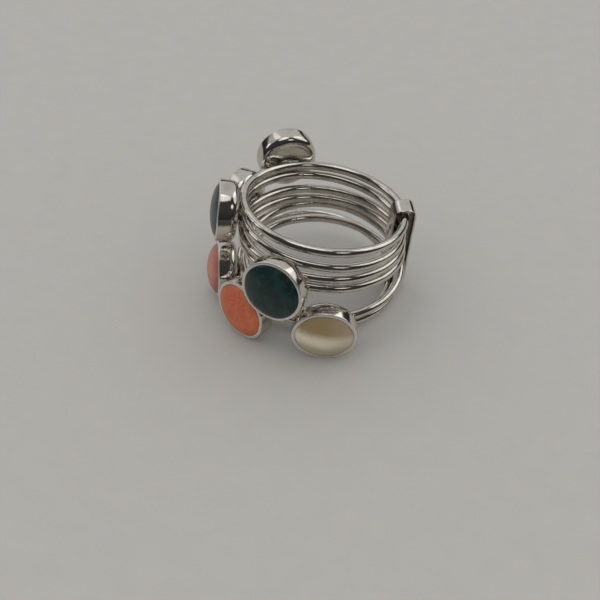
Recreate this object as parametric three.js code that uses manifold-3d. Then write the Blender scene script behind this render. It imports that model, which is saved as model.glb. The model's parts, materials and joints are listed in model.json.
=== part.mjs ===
// A fan ring: seven round wire bands, each with one stone in a round cup, gathered by one folded clip.
// Millimetres, +Z up. The ring lies on its side, as it rests on a table by itself: the clip and the
// three lowest cups touch the surface at z = 0, and the finger goes through along Z.
import * as THREE from 'three';
import { mergeVertices } from 'three/addons/utils/BufferGeometryUtils.js';
import Module from 'manifold-3d';

const wasm = await Module();
wasm.setup();

// Bands: round wire bent into a circle, the same size on every band.
const BAND_RADIUS = 9.5;
const WIRE_RADIUS = 0.525;
const WIRE_SIDES = 8;
const WIRE_STEPS = 44;

// Cups: a round wall on a flat back plate, soldered to the outside of the wire.
const CUP_BACK = 0.7;
const CUP_DEPTH = 2.35;
const CUP_WALL = 0.36;
const CUP_PLATE = 0.5;
const CUP_BEVEL = 0.25;
const CUP_SIDES = 24;
const SOLDER_RADIUS = 0.75;
const SOLDER_REACH = 0.3;

// Stones: round cabochons with a flat bottom, set in the cup with a hairline gap all round.
const STONE_GAP = 0.12;
const STONE_LEDGE = 0.2;

// Clip: a flat strip folded into a tall closed loop round the seven wires. It leans forward a little
// as it stands, so its foot is further back than its top.
const CLIP_FOOT = [11.52, 4.16, 0];
const CLIP_FOOT_HEIGHT = 0.25;
const CLIP_LEAN = [0.06, -0.2, 1];
const CLIP_TURN = 7;
const CLIP_WIDTH = 2.2;
const CLIP_STRIP = 0.38;
const CLIP_SLOT = 2;
const CLIP_HEIGHT = 13.2;
const CLIP_CORNER = 0.85;

// One row per band, from the top of the clip to the bottom. Lengths in mm, angles in degrees.
// atClip: height of the wire in the clip. slide: how far out it sits in the clip's slot.
// rise: slope up from the clip to the far side. lean: slope up to the front.
// swing: turn of the band about the clip, seen from above.
// cup: place of the cup round the band, counted from the clip by way of the front.
// tip: tilt of the cup on its wire, facing up. yaw: its turn on the wire, seen from above.
// size: outer radius of the cup. dome: height of the stone above the rim.
const COLUMNS = [
  'atClip', 'slide', 'rise', 'lean', 'swing', 'cup', 'tip', 'yaw', 'size', 'dome', 'stone', 'colour',
];
const ROWS = [
  [11.92, 0, 8, 2.9, 4.6, 249.8, 4.7, -8.5, 3.62, 0.9, 'stone_1_black', 0x26262a],
  [10.31, -0.17, 8.6, 1, 8.2, 184.6, -0.8, -1, 3.6, 0.75, 'stone_2_slate', 0x3c4650],
  [8.98, -0.14, 6, 2, 10.6, 224.3, -3.9, 2.4, 3.5, 0.9, 'stone_3_grey', 0x77787a],
  [7.72, -0.13, 6, 2, 12.8, 131.4, -0.3, 1.5, 3.8, 0.8, 'stone_4_green', 0x16282a],
  [5.14, 0.22, 5.7, -9.6, 12.1, 100.4, 1.5, -4.1, 3.8, 0.9, 'stone_5_pearl', 0x968e7d],
  [3.45, 0.02, 3.7, -5.5, 12.5, 154.2, 1.9, 6.3, 3.75, 1, 'stone_6_orange', 0xa0502d],
  [1.3, -0.15, 7.1, -7.6, -0.6, 167.7, -1.8, -5.3, 3.5, 1.2, 'stone_7_coral', 0xa0695f],
];
const BANDS = ROWS.map((row) => Object.fromEntries(COLUMNS.map((key, i) => [key, row[i]])));
const SILVER = 0xb9b5ae;

const radians = THREE.MathUtils.degToRad;

function silver() {
  return new THREE.MeshStandardMaterial({ color: SILVER, roughness: 0.22, metalness: 1 });
}

function polished(colour) {
  return new THREE.MeshStandardMaterial({ color: colour, roughness: 0.18, metalness: 0 });
}

function solid(geometry) {
  geometry.deleteAttribute('normal');
  geometry.deleteAttribute('uv');
  const merged = mergeVertices(geometry, 1e-4);
  const vertProperties = new Float32Array(merged.attributes.position.array);
  const triVerts = new Uint32Array(merged.index.array);
  return new wasm.Manifold(new wasm.Mesh({ numProp: 3, vertProperties, triVerts }));
}

function joined(geometries) {
  const parts = geometries.map(solid);
  const whole = parts.reduce((sum, part) => sum.add(part));
  const mesh = whole.getMesh();
  const geometry = new THREE.BufferGeometry();
  geometry.setAttribute('position', new THREE.BufferAttribute(new Float32Array(mesh.vertProperties), 3));
  geometry.setIndex(new THREE.BufferAttribute(new Uint32Array(mesh.triVerts), 1));
  geometry.computeVertexNormals();
  return geometry;
}

function spun(points, sides) {
  return new THREE.LatheGeometry(points.map(([r, h]) => new THREE.Vector2(r, h)), sides);
}

// A band's own frame: its origin is the wire's middle in the clip, +X points away from the middle of
// the band, +Y runs along the wire and +Z is square to the band.
function bandWire() {
  const profile = [];
  for (let i = 0; i <= WIRE_SIDES; i += 1) {
    const a = (2 * Math.PI * i) / WIRE_SIDES;
    profile.push([BAND_RADIUS + WIRE_RADIUS * Math.cos(a), WIRE_RADIUS * Math.sin(a)]);
  }
  const wire = spun(profile, WIRE_STEPS);
  wire.rotateX(Math.PI / 2);
  wire.translate(-BAND_RADIUS, 0, 0);
  return wire;
}

// Moves a piece spun about +Y so that it stands on the wire and faces away from the finger.
function onWire(geometry, band) {
  geometry.rotateZ(radians(band.yaw) - Math.PI / 2);
  geometry.rotateY(-radians(band.tip));
  geometry.translate(BAND_RADIUS, 0, 0);
  geometry.rotateZ(-radians(band.cup));
  geometry.translate(-BAND_RADIUS, 0, 0);
  return geometry;
}

function cupShell(band) {
  const inner = band.size - CUP_WALL;
  const rim = CUP_BACK + CUP_DEPTH;
  const floor = CUP_BACK + CUP_PLATE;
  return spun([
    [0, CUP_BACK],
    [band.size - CUP_BEVEL, CUP_BACK],
    [band.size, CUP_BACK + CUP_BEVEL],
    [band.size, rim - CUP_WALL / 3],
    [band.size - CUP_WALL / 3, rim],
    [inner, rim],
    [inner, floor],
    [0, floor],
  ], CUP_SIDES);
}

function solderSeat() {
  return spun([
    [0, SOLDER_REACH],
    [SOLDER_RADIUS, SOLDER_REACH],
    [SOLDER_RADIUS, CUP_BACK + CUP_PLATE / 2],
    [0, CUP_BACK + CUP_PLATE / 2],
  ], 8);
}

function cabochon(band) {
  const girdle = band.size - CUP_WALL - STONE_GAP;
  const bottom = CUP_BACK + CUP_PLATE + STONE_GAP;
  const rim = CUP_BACK + CUP_DEPTH;
  return spun([
    [0, bottom],
    [girdle, bottom],
    [girdle, rim - STONE_LEDGE],
    [0.93 * girdle, rim + 0.12 * band.dome],
    [0.75 * girdle, rim + 0.52 * band.dome],
    [0.42 * girdle, rim + 0.88 * band.dome],
    [0, rim + band.dome],
  ], CUP_SIDES);
}

function placedBand(band) {
  const normal = new THREE.Vector3(Math.tan(radians(band.rise)), Math.tan(radians(band.lean)), 1).normalize();
  const out = new THREE.Vector3(Math.cos(radians(band.swing)), Math.sin(radians(band.swing)), 0);
  out.z = -(normal.x * out.x + normal.y * out.y) / normal.z;
  out.normalize();
  const along = new THREE.Vector3().crossVectors(normal, out);
  const group = new THREE.Group();
  group.setRotationFromMatrix(new THREE.Matrix4().makeBasis(out, along, normal));
  group.position.copy(inClip(band.atClip));
  group.position.x += band.slide;
  return group;
}

// The middle of the clip's slot at a height above the table.
function inClip(height) {
  const foot = new THREE.Vector3(...CLIP_FOOT);
  return foot.addScaledVector(new THREE.Vector3(...CLIP_LEAN), height);
}

// The clip's loop, drawn as it is seen along the wires, from the table up.
function clipLoop() {
  const outer = loopOutline(CLIP_SLOT + 2 * CLIP_STRIP, 0, CLIP_HEIGHT, CLIP_CORNER, new THREE.Shape());
  const slot = loopOutline(CLIP_SLOT, CLIP_STRIP, CLIP_HEIGHT - CLIP_STRIP, CLIP_CORNER - CLIP_STRIP / 2,
    new THREE.Path());
  outer.holes.push(slot);
  const loop = new THREE.ExtrudeGeometry(outer, { depth: CLIP_WIDTH, bevelEnabled: false, curveSegments: 4 });
  loop.translate(0, 0, -CLIP_WIDTH / 2);
  loop.rotateX(Math.PI / 2);
  return loop;
}

// The clip's own turn: its length leans, and its sides face along the wires.
function leaning() {
  const turn = radians(CLIP_TURN);
  const up = new THREE.Vector3(...CLIP_LEAN).normalize();
  const back = new THREE.Vector3(-Math.sin(turn), Math.cos(turn), 0);
  const outward = new THREE.Vector3().crossVectors(back, up).normalize();
  back.crossVectors(up, outward);
  return new THREE.Matrix4().makeBasis(outward, back, up);
}

function loopOutline(width, low, high, corner, path) {
  const x = width / 2;
  path.moveTo(-x + corner, low);
  path.lineTo(x - corner, low);
  path.quadraticCurveTo(x, low, x, low + corner);
  path.lineTo(x, high - corner);
  path.quadraticCurveTo(x, high, x - corner, high);
  path.lineTo(-x + corner, high);
  path.quadraticCurveTo(-x, high, -x, high - corner);
  path.lineTo(-x, low + corner);
  path.quadraticCurveTo(-x, low, -x + corner, low);
  return path;
}

const ring = new THREE.Group();

const clip = new THREE.Mesh(joined([clipLoop()]), silver());
clip.name = 'clip';
clip.setRotationFromMatrix(leaning());
clip.position.copy(inClip(CLIP_FOOT_HEIGHT));
ring.add(clip);

BANDS.forEach((band, i) => {
  const holder = placedBand(band);
  const metal = [bandWire(), onWire(cupShell(band), band), onWire(solderSeat(), band)];
  const wireAndCup = new THREE.Mesh(joined(metal), silver());
  wireAndCup.name = `band_${i + 1}`;
  const stone = new THREE.Mesh(joined([onWire(cabochon(band), band)]), polished(band.colour));
  stone.name = band.stone;
  holder.add(wireAndCup, stone);
  ring.add(holder);
});

// The ring stands with the middle of its footprint on the origin.
ring.updateMatrixWorld(true);
const box = new THREE.Box3().setFromObject(ring, true);
ring.position.set(-(box.min.x + box.max.x) / 2, -(box.min.y + box.max.y) / 2, -box.min.z);

export default ring;
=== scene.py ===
import json
import math

import bmesh
import bpy
import numpy as np
from mathutils import Matrix, Vector, noise


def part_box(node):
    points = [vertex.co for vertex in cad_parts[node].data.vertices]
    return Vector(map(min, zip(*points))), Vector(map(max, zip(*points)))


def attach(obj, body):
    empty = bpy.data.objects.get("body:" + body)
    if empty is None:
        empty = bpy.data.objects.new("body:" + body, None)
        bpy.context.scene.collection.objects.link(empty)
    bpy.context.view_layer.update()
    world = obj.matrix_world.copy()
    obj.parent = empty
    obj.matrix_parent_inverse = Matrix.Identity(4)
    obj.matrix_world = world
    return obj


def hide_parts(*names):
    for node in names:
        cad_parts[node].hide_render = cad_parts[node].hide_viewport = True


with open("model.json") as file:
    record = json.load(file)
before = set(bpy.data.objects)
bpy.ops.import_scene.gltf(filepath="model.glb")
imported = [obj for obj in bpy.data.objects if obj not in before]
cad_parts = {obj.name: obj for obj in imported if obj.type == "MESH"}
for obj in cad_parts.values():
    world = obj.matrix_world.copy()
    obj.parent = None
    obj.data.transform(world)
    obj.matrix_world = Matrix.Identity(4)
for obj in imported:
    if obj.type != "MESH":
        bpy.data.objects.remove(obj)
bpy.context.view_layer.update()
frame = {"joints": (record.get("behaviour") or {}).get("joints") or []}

MM = 0.001


# Camera: it looks down on the ring from the front, along +Y, as someone at the table sees it.
# It aims at the table under the middle of the bands.
CAMERA_HEIGHT = 39.4
CAMERA_AWAY = 138.84 * MM
CAMERA_AIM = Vector((-1.14, -0.86, 0)) * MM
CAMERA_LENS = 67.1

tilt = math.radians(CAMERA_HEIGHT)
camera = bpy.data.objects.new("camera", bpy.data.cameras.new("camera"))
camera.location = CAMERA_AIM + CAMERA_AWAY * Vector((0, -math.cos(tilt), math.sin(tilt)))
camera.rotation_euler = (math.radians(90) - tilt, 0, 0)
camera.data.sensor_width = 36
camera.data.lens = CAMERA_LENS
camera.data.clip_start = 0.01
bpy.context.scene.collection.objects.link(camera)
bpy.context.scene.camera = camera
bpy.context.scene.view_settings.view_transform = "Standard"


# Table and light: a matt pale warm grey table top, in a plain room with one large soft light
# overhead. The room's dimmer walls are what the silver shows between its highlights. Where the
# silver mirrors the table, the table is painted darker and browner, and nearly black towards the
# front: painted shade that only the reflections show.
TABLE_SIDE = 4.0
TABLE_GREY = (0.415, 0.408, 0.395)
# Painted shade: the table's colours as the silver mirrors them, dimmer than its real grey and nearly black at
# the front.
TABLE_PAINTED_DIM_IN_SILVER = (0.33, 0.31, 0.28)
FRONT_PAINTED_DARK_IN_SILVER = (0.035, 0.03, 0.028)


class Finish:
    """A socket in a tree of nodes. Sums on it add Math nodes, and node() adds any other node."""

    def __init__(self, tree, socket=None):
        self.tree = tree
        self.socket = socket

    def node(self, kind, settings, values, output=0):
        made = self.tree.nodes.new(kind)
        for name, setting in settings.items():
            if name == "stops":
                set_stops(made.color_ramp, setting)
            else:
                setattr(made, name, setting)
        for name, value in values.items():
            if isinstance(value, Finish):
                self.tree.links.new(value.socket, made.inputs[name])
            else:
                made.inputs[name].default_value = value
        return Finish(self.tree, made.outputs[output])

    def maths(self, operation, *values):
        return self.node("ShaderNodeMath", {"operation": operation}, dict(enumerate(values)))

    def __add__(self, other):
        return self.maths("ADD", self, other)

    def __radd__(self, other):
        return self.maths("ADD", other, self)

    def __sub__(self, other):
        return self.maths("SUBTRACT", self, other)

    def __rsub__(self, other):
        return self.maths("SUBTRACT", other, self)

    def __mul__(self, other):
        return self.maths("MULTIPLY", self, other)

    def __rmul__(self, other):
        return self.maths("MULTIPLY", other, self)

    def between(self, low, high):
        """0 below low, 1 above high and a soft step between them."""
        values = {"Value": self, "From Min": low, "From Max": high}
        return self.node("ShaderNodeMapRange", {"interpolation_type": "SMOOTHSTEP"}, values)

    def mixed(self, first, second):
        """The first colour where this mask is 0 and the second where it is 1."""
        return self.node("ShaderNodeMix", {"data_type": "RGBA"}, {0: self, 6: first, 7: second}, 2)


def set_stops(ramp, stops):
    while len(ramp.elements) < len(stops):
        ramp.elements.new(1)
    for element, (place, colour) in zip(ramp.elements, stops):
        element.position = place
        element.color = colour


def solid_colour(red, green, blue):
    return (red, green, blue, 1)


def new_finish(name, constants):
    """A material and its Principled shader, with the sockets that are the same all over."""
    material = bpy.data.materials.new(name)
    material.use_nodes = True
    shader = material.node_tree.nodes["Principled BSDF"]
    for socket, value in constants.items():
        shader.inputs[socket].default_value = value
    return material, shader, Finish(material.node_tree)


def feed(shader, **links):
    for name, value in links.items():
        shader.id_data.links.new(value.socket, shader.inputs[name.replace("_", " ")])


def in_millimetres(start):
    place = start.node("ShaderNodeTexCoord", {}, {}, "Object")
    return start.node("ShaderNodeMapping", {}, {"Vector": place, "Scale": (1 / MM,) * 3})


def speckle(start, place, scale, detail=3.0, output=0):
    values = {"Vector": place, "Scale": scale, "Detail": detail}
    return start.node("ShaderNodeTexNoise", {}, values, output)


def bumped(start, height, depth, strength=1.0):
    values = {"Height": height, "Distance": depth, "Strength": strength}
    return start.node("ShaderNodeBump", {}, values)


table_finish, shader, start = new_finish("table_top", {"Roughness": 0.7})
grain = speckle(start, in_millimetres(start), 0.35)
top = grain.between(0.2, 0.8).mixed(
    solid_colour(*TABLE_GREY), solid_colour(*[c * 1.03 for c in TABLE_GREY])
)
# Rays off the silver see the painted dark table instead of its real grey: painted shade in the reflections.
mirrored = start.node("ShaderNodeLightPath", {}, {}, "Is Glossy Ray")
forward = start.node("ShaderNodeSeparateXYZ", {}, {0: in_millimetres(start)}, "Y")
front = (0 - forward).between(24, 46)
painted_dark_reflection = front.mixed(solid_colour(*TABLE_PAINTED_DIM_IN_SILVER), solid_colour(*FRONT_PAINTED_DARK_IN_SILVER))
feed(shader, Base_Color=mirrored.mixed(top, painted_dark_reflection))
half = TABLE_SIDE / 2
table_mesh = bpy.data.meshes.new("table_top")
table_mesh.from_pydata(
    [(-half, -half, 0), (half, -half, 0), (half, half, 0), (-half, half, 0)], [], [(0, 1, 2, 3)]
)
table_mesh.materials.append(table_finish)
table_top = bpy.data.objects.new("table_top", table_mesh)
bpy.context.scene.collection.objects.link(table_top)

# Each panel of light in the room: its direction and half its width, in degrees, how soft its
# edge is, and its strength over the room's own.
PANEL_COLUMNS = ("azimuth", "height", "half", "edge", "strength")
PANELS = [
    (12, 50, 36, 6, 0.42),
    (180, 83, 15, 4, 0.85),
    (75, 38, 20, 5, 0.75),
    (-58, 44, 20, 8, 0.35),
    (-80, 26, 8, 4, 0.8),
    (140, 40, 7, 3, 0.9),
    (-25, 10, 9, 5, 0.6),
]
ROOM_STRENGTH = 0.03
SKY_STRENGTH = 0.98
ROOM_SHOWN = 0.41

world = bpy.data.worlds.new("room")
world.use_nodes = True
bpy.context.scene.world = world
start = Finish(world.node_tree)
direction = start.node("ShaderNodeTexCoord", {}, {}, "Generated")
strength = start.node("ShaderNodeSeparateXYZ", {}, {0: direction}, "Z").between(-0.2, 0.6)
sky = SKY_STRENGTH * (0.8 + strength * 0.25)
strength = ROOM_STRENGTH * (0.4 + strength * 0.6)
for row in PANELS:
    panel = dict(zip(PANEL_COLUMNS, row))
    turn, height = math.radians(panel["azimuth"]), math.radians(panel["height"])
    towards = (math.sin(turn) * math.cos(height), math.cos(turn) * math.cos(height), math.sin(height))
    facing = start.node(
        "ShaderNodeVectorMath", {"operation": "DOT_PRODUCT"}, {0: direction, 1: towards}, "Value"
    )
    outer = math.cos(math.radians(panel["half"] + panel["edge"]))
    inner = math.cos(math.radians(panel["half"]))
    strength = strength + facing.between(outer, inner) * panel["strength"]
seen = start.node("ShaderNodeLightPath", {}, {}, "Is Camera Ray")
mirrored = start.node("ShaderNodeLightPath", {}, {}, "Is Glossy Ray")
lit = mirrored * strength + (1 - mirrored) * sky
strength = seen * ROOM_SHOWN + (1 - seen) * lit
background = world.node_tree.nodes["Background"]
background.inputs["Color"].default_value = (1, 0.985, 0.96, 1)
world.node_tree.links.new(strength.socket, background.inputs["Strength"])


# Bands: seven circles of round silver wire, each passing through the clip. Each is one length of
# wire bent round a mandrel, its ends soldered together, and stays a little wavy.
BAND_RADIUS = 9.5
WIRE_RADIUS = 0.525
WIRE_WAVER = 0.03
BAND_STEPS = 288
WIRE_SIDES = 20

# One row per band, from the top of the clip to the bottom, in mm and degrees. rise: slope up from
# the clip to the far side. lean: slope up to the front. swing: turn about the clip, seen from
# above. cup: place of the cup round the band, from the clip by way of the front. tip: tilt of the
# cup on its wire. yaw: its turn on the wire. size: the cup's outer radius. dome: height of the
# stone above the rim. seam: place of the wire's own soldered joint.
BAND_COLUMNS = ("rise", "lean", "swing", "cup", "tip", "yaw", "size", "dome", "seam", "stone")
BAND_ROWS = [
    (8.0, 2.9, 4.6, 249.8, 4.7, -8.5, 3.62, 0.9, 150, "stone_1_black"),
    (8.6, 1.0, 8.2, 184.6, -0.8, -1.0, 3.6, 0.75, 262, "stone_2_slate"),
    (6.0, 2.0, 10.6, 224.3, -3.9, 2.4, 3.5, 0.9, 120, "stone_3_grey"),
    (6.0, 2.0, 12.8, 131.4, -0.3, 1.5, 3.8, 0.8, 290, "stone_4_green"),
    (5.7, -9.6, 12.1, 100.4, 1.5, -4.1, 3.8, 0.9, 272, "stone_5_pearl"),
    (3.7, -5.5, 12.5, 154.2, 1.9, 6.3, 3.75, 1.0, 262, "stone_6_orange"),
    (7.1, -7.6, -0.6, 167.7, -1.8, -5.3, 3.5, 1.2, 255, "stone_7_coral"),
]
bands = [dict(zip(BAND_COLUMNS, row)) for row in BAND_ROWS]

# Silver: polished by hand, with a soft waviness, and darker where a brush can't reach. The cup rims are
# rougher from wear and painted brighter, a painted highlight on each rim.
SILVER_BRIGHT = solid_colour(0.84, 0.81, 0.76)
# Painted highlight: the rim's colour, brighter than the silver elsewhere.
SILVER_RIM_HIGHLIGHT = solid_colour(0.97, 0.96, 0.93)
SILVER_DULL = solid_colour(0.58, 0.53, 0.47)
SILVER_DARK = solid_colour(0.10, 0.075, 0.06)

silver, shader, start = new_finish("polished_silver", {"Metallic": 1.0})
place = in_millimetres(start)
tarnish = start.node("ShaderNodeAttribute", {"attribute_name": "tarnish"}, {}, "Fac")
seam = start.node("ShaderNodeAttribute", {"attribute_name": "seam"}, {}, "Fac")
worn = start.node("ShaderNodeAttribute", {"attribute_name": "worn"}, {}, "Fac")
patches = speckle(start, place, 0.9, 4.0)
grit = speckle(start, place, 6.0, 5.0)
dark = (tarnish * (0.5 + grit)).between(0.25, 0.75)
dull = patches.between(0.42, 0.72) * 0.55
# On the rim the colour turns brighter, a painted highlight; the rim's real satin wear is the added roughness
# below.
polish = worn.mixed(dull.mixed(SILVER_BRIGHT, SILVER_DULL), SILVER_RIM_HIGHLIGHT)
scratches = start.node(
    "ShaderNodeTexNoise",
    {},
    {"Vector": start.node("ShaderNodeMapping", {}, {"Vector": place, "Scale": (1, 7, 7)}), "Scale": 2.5},
)
height = patches * 0.5 + scratches * 0.05 + grit * (0.03 + dark * 0.5) + seam * 0.6
feed(
    shader,
    Base_Color=dark.mixed(polish, SILVER_DARK),
    Roughness=0.07 + dull * 0.12 + dark * 0.3 + seam * 0.3 + worn * 0.32,
    Normal=bumped(start, height, 0.05 * MM, 0.6),
)


def new_tree(name, inputs):
    """An empty Geometry Nodes tree with named inputs and a geometry output, and the sockets of its input node.
    """
    tree = bpy.data.node_groups.new(name, "GeometryNodeTree")
    for label, kind, value in inputs:
        socket = tree.interface.new_socket(label, in_out="INPUT", socket_type=kind)
        if value is not None:
            socket.default_value = value
    tree.interface.new_socket("Geometry", in_out="OUTPUT", socket_type="NodeSocketGeometry")
    given = Finish(tree)
    entry = tree.nodes.new("NodeGroupInput")
    return tree, given, {s.name: Finish(tree, s) for s in entry.outputs if s.name}


def end_tree(given, geometry, material):
    """Smooth shading, real geometry and the material, as the last steps of a tree."""
    smooth = given.node("GeometryNodeSetShadeSmooth", {}, {"Geometry": geometry})
    real = given.node("GeometryNodeRealizeInstances", {}, {"Geometry": smooth})
    done = given.node("GeometryNodeSetMaterial", {}, {"Geometry": real, "Material": material})
    leave = given.tree.nodes.new("NodeGroupOutput")
    given.tree.links.new(done.socket, leave.inputs["Geometry"])


def grown(name, tree, values):
    """The points and faces of the mesh that a tree makes with these inputs."""
    carrier = bpy.data.objects.new(name, bpy.data.meshes.new(name))
    bpy.context.scene.collection.objects.link(carrier)
    modifier = carrier.modifiers.new("grow", "NODES")
    modifier.node_group = tree
    for item in tree.interface.items_tree:
        if item.item_type == "SOCKET" and item.in_out == "INPUT" and item.name in values:
            modifier[item.identifier] = values[item.name]
    bpy.context.view_layer.update()
    evaluated = carrier.evaluated_get(bpy.context.evaluated_depsgraph_get())
    mesh = bpy.data.meshes.new_from_object(evaluated)
    points = np.array([v.co for v in mesh.vertices], float).reshape(-1, 3)
    faces = [tuple(p.vertices) for p in mesh.polygons]
    carrier.modifiers.remove(modifier)
    bpy.data.objects.remove(carrier)
    bpy.data.meshes.remove(mesh)
    return points, faces


wire_tree, given, entry = new_tree(
    "bent_wire",
    [
        ("Band Radius", "NodeSocketFloat", BAND_RADIUS),
        ("Wire Radius", "NodeSocketFloat", WIRE_RADIUS),
        ("Steps Round", "NodeSocketInt", BAND_STEPS),
        ("Wire Sides", "NodeSocketInt", WIRE_SIDES),
        ("Waver", "NodeSocketFloat", WIRE_WAVER),
        ("Seed", "NodeSocketFloat", 0.0),
        ("Material", "NodeSocketMaterial", None),
    ],
)
circle = given.node(
    "GeometryNodeCurvePrimitiveCircle",
    {"mode": "RADIUS"},
    {"Resolution": entry["Steps Round"], "Radius": entry["Band Radius"]},
)
section = given.node(
    "GeometryNodeCurvePrimitiveCircle",
    {"mode": "RADIUS"},
    {"Resolution": entry["Wire Sides"], "Radius": entry["Wire Radius"]},
)
wander = given.node(
    "ShaderNodeTexNoise",
    {"noise_dimensions": "4D"},
    {
        "Vector": given.node("GeometryNodeInputPosition", {}, {}),
        "W": entry["Seed"],
        "Scale": 0.22,
        "Detail": 1.0,
    },
    "Color",
)
centred = given.node("ShaderNodeVectorMath", {"operation": "SUBTRACT"}, {0: wander, 1: (0.5, 0.5, 0.5)})
offset = given.node("ShaderNodeVectorMath", {"operation": "SCALE"}, {0: centred, "Scale": entry["Waver"] * 4})
path = given.node("GeometryNodeSetPosition", {}, {"Geometry": circle, "Offset": offset})
tube = given.node("GeometryNodeCurveToMesh", {}, {"Curve": path, "Profile Curve": section})
end_tree(given, tube, entry["Material"])


def band_place(number):
    """Where a band is: +X away from its middle, +Y along the wire in the clip, +Z square to it."""
    band = bands[number - 1]
    hinge = next(j for j in frame["joints"] if j["child"] == f"band_{number}")
    rise, lean, swing = (math.radians(band[key]) for key in ("rise", "lean", "swing"))
    square = Vector((math.tan(rise), math.tan(lean), 1)).normalized()
    away = Vector((math.cos(swing), math.sin(swing), 0))
    away.z = -(square.x * away.x + square.y * away.y) / square.z
    away.normalize()
    along = square.cross(away)
    turn = Matrix((away, along, square)).transposed().to_4x4()
    return Matrix.Translation(Vector(hinge["pos_m"])) @ turn @ Matrix.Scale(MM, 4)


# Cups: a round wall of silver strip on a flat back plate, soldered to the outside of the wire.
# The rim is pushed over the stone and polished, and the back edge is filed round.
CUP_BACK = 0.7
CUP_DEPTH = 2.35
CUP_WALL = 0.42
CUP_STEPS = 120
RIM_HEIGHT = CUP_BACK + CUP_DEPTH
SEAT_HEIGHT = 1.2


def seat_place(band):
    """The cup's place on its band: +Y out of the cup and X along the wire."""
    cup, tip, yaw = (math.radians(band[key]) for key in ("cup", "tip", "yaw"))
    middle = Vector((BAND_RADIUS, 0, 0))
    stand = Matrix.Rotation(-tip, 4, "Y") @ Matrix.Rotation(yaw - math.pi / 2, 4, "Z")
    turned = Matrix.Rotation(-cup, 4, "Z") @ Matrix.Translation(middle)
    return Matrix.Translation(-middle) @ turned @ stand


def rounded(corners, steps=6):
    """A profile through corners (radius, height, rounding), each rounded by an arc."""
    points = []
    for i, (r, h, bend) in enumerate(corners):
        here = Vector((r, h))
        if not bend:
            points.append((r, h))
            continue
        before = (Vector(corners[i - 1][:2]) - here).normalized()
        after = (Vector(corners[i + 1][:2]) - here).normalized()
        for k in range(steps + 1):
            t = k / steps
            start_point = here + before * bend
            end_point = here + after * bend
            point = start_point * (1 - t) ** 2 + here * 2 * t * (1 - t) + end_point * t**2
            points.append(tuple(point))
    return points


def spun(profile, steps):
    """The points and faces of a profile (radius, height) turned about +Y and closed on the axis."""
    points = [(0, profile[0][1], 0), (0, profile[-1][1], 0)]
    rows = profile[1:-1]
    for r, h in rows:
        for k in range(steps):
            a = 2 * math.pi * k / steps
            points.append((r * math.sin(a), h, r * math.cos(a)))
    faces = []
    for i in range(len(rows) - 1):
        for k in range(steps):
            a = 2 + i * steps + k
            b = 2 + i * steps + (k + 1) % steps
            faces.append((a, b, b + steps, a + steps))
    last = 2 + (len(rows) - 1) * steps
    for k in range(steps):
        faces.append((0, 2 + (k + 1) % steps, 2 + k))
        faces.append((1, last + k, last + (k + 1) % steps))
    return np.array(points, float), faces


def moved(points, place):
    matrix = np.array(place, float)
    return points @ matrix[:3, :3].T + matrix[:3, 3]


def worked(points, scale, depth, seed):
    """Points pushed about a little, as metal is that was bent and filed by hand."""
    shift = Vector((seed * 17.3, seed * 5.1, seed * 9.7))
    pushed = [noise.noise_vector(Vector(p) * scale + shift) for p in points]
    return points + np.array([tuple(p) for p in pushed], float) * depth


def cup_shell(band, seed):
    size = band["size"]
    profile = rounded([
        (0, CUP_BACK - 0.08, 0),
        (size - 1.3, CUP_BACK - 0.04, 0),
        (size, CUP_BACK, 1.0),
        (size, RIM_HEIGHT - 0.9, 0),
        (size, RIM_HEIGHT, 0.26),
        (size - CUP_WALL, RIM_HEIGHT - 0.03, 0.13),
        (size - CUP_WALL, SEAT_HEIGHT, 0),
        (0, SEAT_HEIGHT, 0),
    ])
    points, faces = spun(profile, CUP_STEPS)
    return worked(points, 0.45, 0.05, seed), faces


# Solder: a rough mound that fills the corner between the wire and the cup's back plate.
SOLDER_LONG = 1.55
SOLDER_WIDE = 0.72
SOLDER_HIGH = 0.5
SOLDER_MIDDLE = 0.42


def solder_mound(seed):
    profile = [(math.sin(a), -math.cos(a)) for a in np.linspace(0, math.pi, 22)]
    points, faces = spun(profile, 40)
    points = points * (SOLDER_LONG, SOLDER_HIGH, SOLDER_WIDE) + (0, SOLDER_MIDDLE, 0)
    return worked(worked(points, 0.9, 0.1, seed), 3.1, 0.07, seed + 3), faces


def joined(shells):
    """Several closed shells as the points and faces of one mesh."""
    points, faces, count = [], [], 0
    for shell_points, shell_faces in shells:
        points.append(shell_points)
        faces += [tuple(count + i for i in face) for face in shell_faces]
        count += len(shell_points)
    return np.concatenate(points), faces


def new_piece(name, points, faces, finish, layers):
    """A smooth piece with its faces outwards, its finish and a value per point for each layer."""
    mesh = bpy.data.meshes.new(name)
    mesh.from_pydata(points.tolist(), [], faces)
    shape = bmesh.new()
    shape.from_mesh(mesh)
    bmesh.ops.recalc_face_normals(shape, faces=shape.faces)
    shape.to_mesh(mesh)
    shape.free()
    mesh.shade_smooth()
    for layer, values in layers.items():
        kind = "FLOAT" if values.ndim == 1 else "FLOAT_VECTOR"
        attribute = mesh.attributes.new(layer, kind, "POINT")
        attribute.data.foreach_set("value" if values.ndim == 1 else "vector", values.ravel())
    mesh.materials.append(finish)
    piece = bpy.data.objects.new(name, mesh)
    bpy.context.scene.collection.objects.link(piece)
    return piece


def near(points, middle, reach):
    """1 at the middle, falling softly to nothing at about twice the reach each way."""
    return np.exp(-(((points - middle) / reach) ** 2).sum(axis=1))


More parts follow.
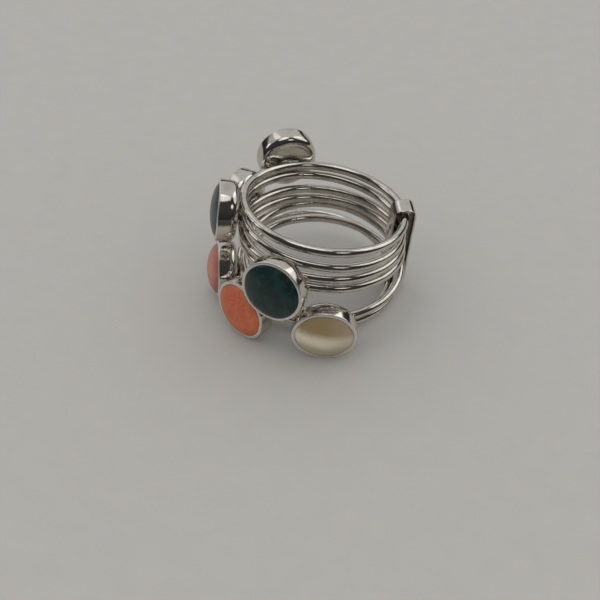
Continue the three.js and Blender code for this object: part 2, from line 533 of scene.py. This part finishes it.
for number, band in enumerate(bands, 1):
    wire = grown(f"wire_{number}", wire_tree, {"Seed": float(number), "Material": silver})
    wire = (wire[0] - (BAND_RADIUS, 0, 0), wire[1])
    seat = seat_place(band)
    cup = cup_shell(band, number)
    solder = solder_mound(number)
    shells = [wire, (moved(cup[0], seat), cup[1]), (moved(solder[0], seat), solder[1])]
    points, faces = joined(shells)
    from_seat = moved(points, seat.inverted())
    tarnished = near(from_seat, (0, 0.5, 0), (2.1, 0.55, 0.95)) + near(points, (0, 0, 0), (1.2, 1.9, 1.2))
    round_band = np.degrees(np.arctan2(-points[:, 1], points[:, 0] + BAND_RADIUS)) % 360
    from_seam = np.radians(round_band - band["seam"]) * BAND_RADIUS
    on_wire = np.arange(len(points)) < len(wire[0])
    layers = {
        "tarnish": np.clip(tarnished, 0, 1),
        "seam": np.exp(-((from_seam / 0.12) ** 2)) * on_wire,
        # Rim mask: the rim's real satin wear and its painted highlight.
        "worn": (from_seat[:, 1] > RIM_HEIGHT - 0.14) * 1.0,
    }
    piece = new_piece(f"silver_band_{number}", moved(points, band_place(number)), faces, silver, layers)
    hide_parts(f"band_{number}")
    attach(piece, f"band_{number}")


# Clip: a flat silver strip folded into a tall closed loop round the wires, its ends soldered. The
# folds are pinched round by hand and stay dark inside.
CLIP_LEAN = Vector((0.06, -0.2, 1)).normalized()
CLIP_TURN = 7
CLIP_STRIP = 0.38
CLIP_ALONG = 2.2
CLIP_WIDE = 2.76
CLIP_TALL = 13.2
CLIP_FOLD = 0.95

clip_tree, given, entry = new_tree(
    "folded_strip",
    [
        ("Width", "NodeSocketFloat", CLIP_WIDE - CLIP_STRIP),
        ("Height", "NodeSocketFloat", CLIP_TALL - CLIP_STRIP),
        ("Fold Radius", "NodeSocketFloat", CLIP_FOLD),
        ("Strip Thickness", "NodeSocketFloat", CLIP_STRIP),
        ("Strip Width", "NodeSocketFloat", CLIP_ALONG),
        ("Edge Radius", "NodeSocketFloat", 0.14),
        ("Material", "NodeSocketMaterial", None),
    ],
)
loop = given.node(
    "GeometryNodeCurvePrimitiveQuadrilateral",
    {"mode": "RECTANGLE"},
    {"Width": entry["Width"], "Height": entry["Height"]},
)
folded = given.node(
    "GeometryNodeFilletCurve",
    {"mode": "POLY"},
    {"Curve": loop, "Count": 12, "Radius": entry["Fold Radius"]},
)
stepped = given.node(
    "GeometryNodeResampleCurve", {"mode": "LENGTH"}, {"Curve": folded, "Length": 0.15}
)
strip = given.node(
    "GeometryNodeCurvePrimitiveQuadrilateral",
    {"mode": "RECTANGLE"},
    {"Width": entry["Strip Thickness"], "Height": entry["Strip Width"]},
)
eased = given.node(
    "GeometryNodeFilletCurve",
    {"mode": "POLY"},
    {"Curve": strip, "Count": 5, "Radius": entry["Edge Radius"]},
)
section = given.node("GeometryNodeResampleCurve", {"mode": "LENGTH"}, {"Curve": eased, "Length": 0.12})
bent = given.node("GeometryNodeCurveToMesh", {}, {"Curve": stepped, "Profile Curve": section})
end_tree(given, bent, entry["Material"])

points, faces = grown("clip", clip_tree, {"Material": silver})
low, high = (Vector(corner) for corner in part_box("clip"))
turn = math.radians(CLIP_TURN)
across = Vector((-math.sin(turn), math.cos(turn), 0)).cross(CLIP_LEAN).normalized()
upright = Matrix((across, CLIP_LEAN, across.cross(CLIP_LEAN))).transposed().to_4x4()
clip_place = Matrix.Translation((low + high) / 2) @ upright @ Matrix.Scale(MM, 4)
from_middle = np.abs(points[:, :2]) - (CLIP_WIDE / 2, CLIP_TALL / 2)
inside = (from_middle < -CLIP_STRIP * 0.6).all(axis=1)
layers = {
    "tarnish": 0.24 + 0.5 * inside,
    "seam": np.zeros(len(points)),
    "worn": np.zeros(len(points)),
}
points = worked(points, 0.6, 0.04, 11)
clip = new_piece("silver_clip", moved(points, clip_place), faces, silver, layers)
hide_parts("clip")
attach(clip, "clip")


# Stones: round cabochons with a low dome, flat underneath, each held in its cup by the rim. Every
# pattern follows its stone: X along the wire, Y out of the cup and Z across.
STONE_LEDGE = 0.2
STONE_FLOOR = 1.3


def cabochon(band):
    girdle = band["size"] - CUP_WALL + 0.02
    shoulder = RIM_HEIGHT - STONE_LEDGE
    swell = band["dome"] + STONE_LEDGE
    profile = [(0, STONE_FLOOR), (girdle, STONE_FLOOR), (girdle, (STONE_FLOOR + shoulder) / 2)]
    for a in np.linspace(math.pi / 2, 0, 26):
        profile.append((girdle * math.sin(a), shoulder + swell * abs(math.cos(a)) ** 1.2))
    return spun(profile, 96)


def own_place(start):
    return start.node("ShaderNodeAttribute", {"attribute_name": "own_place"}, {}, "Vector")


def part_of(start, place, axis):
    return start.node("ShaderNodeSeparateXYZ", {}, {0: place}, axis)


# Onyx: black and glossy. It faces away from the front, under its cup.
def onyx_finish():
    material, shader, start = new_finish("black_onyx", {"IOR": 1.54})
    cloud = speckle(start, own_place(start), 0.8)
    feed(
        shader,
        Base_Color=cloud.between(0.3, 0.7).mixed(
            solid_colour(0.012, 0.012, 0.014), solid_colour(0.03, 0.03, 0.034)
        ),
        Roughness=0.12 + cloud * 0.08,
    )
    return material


# Blue slate: an even dark blue-grey with fine pale flecks.
def slate_finish():
    material, shader, start = new_finish("blue_slate", {"IOR": 1.54})
    place = own_place(start)
    cloud = speckle(start, place, 0.9)
    flecks = speckle(start, place, 7.0, 2.0).between(0.62, 0.72)
    ground = cloud.between(0.3, 0.7).mixed(
        solid_colour(0.03, 0.038, 0.047), solid_colour(0.055, 0.066, 0.08)
    )
    feed(
        shader,
        Base_Color=(flecks * 0.35).mixed(ground, solid_colour(0.25, 0.28, 0.33)),
        Roughness=0.18 + cloud * 0.15,
    )
    return material


# Grey agate: soft parallel bands of grey.
def agate_finish():
    material, shader, start = new_finish("grey_agate", {"IOR": 1.54})
    place = own_place(start)
    bent = speckle(start, place, 0.5)
    layer = start.maths("SINE", (part_of(start, place, "X") + bent * 3) * 5)
    feed(
        shader,
        Base_Color=layer.between(-1, 1).mixed(
            solid_colour(0.13, 0.13, 0.135), solid_colour(0.24, 0.235, 0.23)
        ),
        Roughness=0.15 + bent * 0.1,
    )
    return material


# Moss agate: nearly black green, with cloudy teal growths deep in it and a waxy polish.
def green_finish():
    material, shader, start = new_finish("deep_green_agate", {"IOR": 1.5})
    place = own_place(start)
    cloud = speckle(start, place, 0.55, 5.0)
    veins = speckle(start, place, 2.4, 5.0)
    ground = cloud.between(0.35, 0.7).mixed(
        solid_colour(0.003, 0.011, 0.012), solid_colour(0.006, 0.034, 0.032)
    )
    feed(
        shader,
        Base_Color=(veins.between(0.5, 0.75) * 0.5).mixed(ground, solid_colour(0.012, 0.05, 0.042)),
        Roughness=0.24 + veins * 0.14,
    )
    return material


# Mother-of-pearl: olive brown shading to cream, with a painted highlight, a soft pale band across
# it that stands in for the blurred reflection of a light, and fine growth lines.
def pearl_finish():
    material, shader, start = new_finish("mother_of_pearl", {"IOR": 1.55, "Coat Roughness": 0.1})
    place = own_place(start)
    bent = speckle(start, place, 0.45, 3.0)
    across = part_of(start, place, "Z") + (bent - 0.5) * 1.6
    # Painted highlight: a pale band across the stone where a light's reflection falls.
    painted_highlight_band = 1 - start.maths("ABSOLUTE", across + 0.15).between(0.0, 1.8)
    lines = start.maths("SINE", (across + bent) * 6).between(-1, 1)
    ground = across.between(-2.0, 2.0).mixed(
        solid_colour(0.36, 0.32, 0.22), solid_colour(0.22, 0.165, 0.075)
    )
    rose = (bent - part_of(start, place, "X")).between(0.2, 3.2)
    # The cream band is painted into the colour, a painted reflection of a light.
    lit = (painted_highlight_band * 0.62).mixed(ground, solid_colour(0.80, 0.75, 0.60))
    feed(
        shader,
        Base_Color=(lines * 0.05 + rose * 0.5).mixed(lit, solid_colour(0.34, 0.26, 0.20)),
        Roughness=0.3 + lines * 0.08,
        Coat_Weight=0.25 + painted_highlight_band * 0.2,
    )
    return material


# Orange spiny oyster: mottled orange, redder in patches, with a satin polish.
def orange_finish():
    material, shader, start = new_finish("orange_shell", {"IOR": 1.5})
    place = own_place(start)
    cloud = speckle(start, place, 0.35, 3.0)
    grain = speckle(start, place, 3.2, 5.0)
    ground = cloud.between(0.2, 0.7).mixed(
        solid_colour(0.52, 0.145, 0.05), solid_colour(0.38, 0.075, 0.035)
    )
    feed(
        shader,
        Base_Color=(grain.between(0.42, 0.7) * 0.4).mixed(ground, solid_colour(0.56, 0.20, 0.09)),
        Roughness=0.34 + grain * 0.14,
    )
    return material


# Coral: a dusky pink, paler towards the crown, with faint grain lines.
def coral_finish():
    material, shader, start = new_finish("dusky_coral", {"IOR": 1.5})
    place = own_place(start)
    cloud = speckle(start, place, 0.7, 3.0)
    grain = start.node(
        "ShaderNodeTexNoise",
        {},
        {"Vector": start.node("ShaderNodeMapping", {}, {"Vector": place, "Scale": (0.4, 1, 3)}), "Scale": 2.0},
    )
    crown = part_of(start, place, "Y").between(3.0, 4.1)
    ground = crown.mixed(solid_colour(0.27, 0.085, 0.07), solid_colour(0.42, 0.17, 0.135))
    feed(
        shader,
        Base_Color=(cloud.between(0.4, 0.7) * 0.4).mixed(ground, solid_colour(0.50, 0.24, 0.20)),
        Roughness=0.3 + grain * 0.15,
    )
    return material


stone_finishes = {
    "stone_1_black": onyx_finish,
    "stone_2_slate": slate_finish,
    "stone_3_grey": agate_finish,
    "stone_4_green": green_finish,
    "stone_5_pearl": pearl_finish,
    "stone_6_orange": orange_finish,
    "stone_7_coral": coral_finish,
}

for number, band in enumerate(bands, 1):
    name = band["stone"]
    points, faces = cabochon(band)
    placed = moved(points, band_place(number) @ seat_place(band))
    finish = stone_finishes[name]()
    stone = new_piece(name.replace("stone", "cabochon"), placed, faces, finish, {"own_place": points})
    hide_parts(name)
    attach(stone, f"band_{number}")
